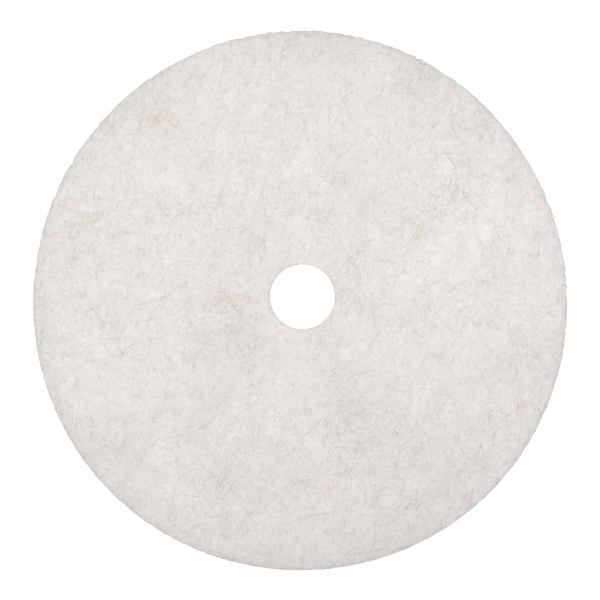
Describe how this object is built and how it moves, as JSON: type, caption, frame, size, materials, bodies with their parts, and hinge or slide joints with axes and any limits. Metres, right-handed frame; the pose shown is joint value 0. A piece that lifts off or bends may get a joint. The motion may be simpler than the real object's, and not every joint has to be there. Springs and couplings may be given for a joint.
{
  "type": "felt polishing pad",
  "caption": "Large round nonwoven felt pad with natural hair, an off-centre round hole and softly rounded faces, for burnishing and polishing flat surfaces.",
  "frame": {"origin": "on the centre hole's axis, in the plane of the back face", "axes": "+Z along the hole's axis, out of the front working face; +Y across the wider side of the slightly oval outline; X and Y lie in the back face"},
  "size_m": [0.6824, 0.6891, 0.0254],
  "materials": {
    "felt_face": "matte",
    "felt_core": "matte",
    "natural_hair": "matte"
  },
  "bodies": {
    "root": {"back_face_ply": "felt_face", "back_core_ply": "felt_core", "middle_core_ply": "felt_core", "front_core_ply": "felt_core", "front_face_ply": "felt_face"}
  },
  "joints": []
}
